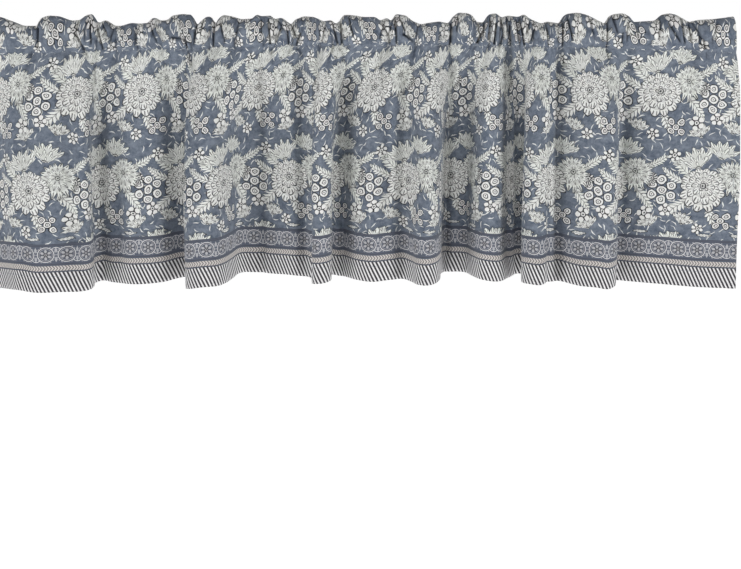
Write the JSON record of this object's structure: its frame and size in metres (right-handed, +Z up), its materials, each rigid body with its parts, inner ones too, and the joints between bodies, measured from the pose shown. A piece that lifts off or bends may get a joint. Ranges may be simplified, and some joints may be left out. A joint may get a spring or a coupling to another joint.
{
  "type": "window valance",
  "caption": "Gathered window valance of printed cotton with a rod pocket along its top, hanging in soft uneven folds above a striped hem border.",
  "frame": {"origin": "on the line that the rod's axis takes through the pocket, at the middle of the valance's width", "axes": "+X along the rod, to the right as seen from the front; +Z up; the printed front faces -Y"},
  "size_m": [1.0387, 0.0882, 0.3892],
  "materials": {
    "pocket_cotton": "matt printed plain-weave cotton, slate blue with off-white flowers",
    "drop_cotton": "matt printed plain-weave cotton, slate blue with off-white flowers and a striped border"
  },
  "bodies": {
    "root": {"rod_pocket": "pocket_cotton", "drop": "drop_cotton"}
  },
  "joints": []
}
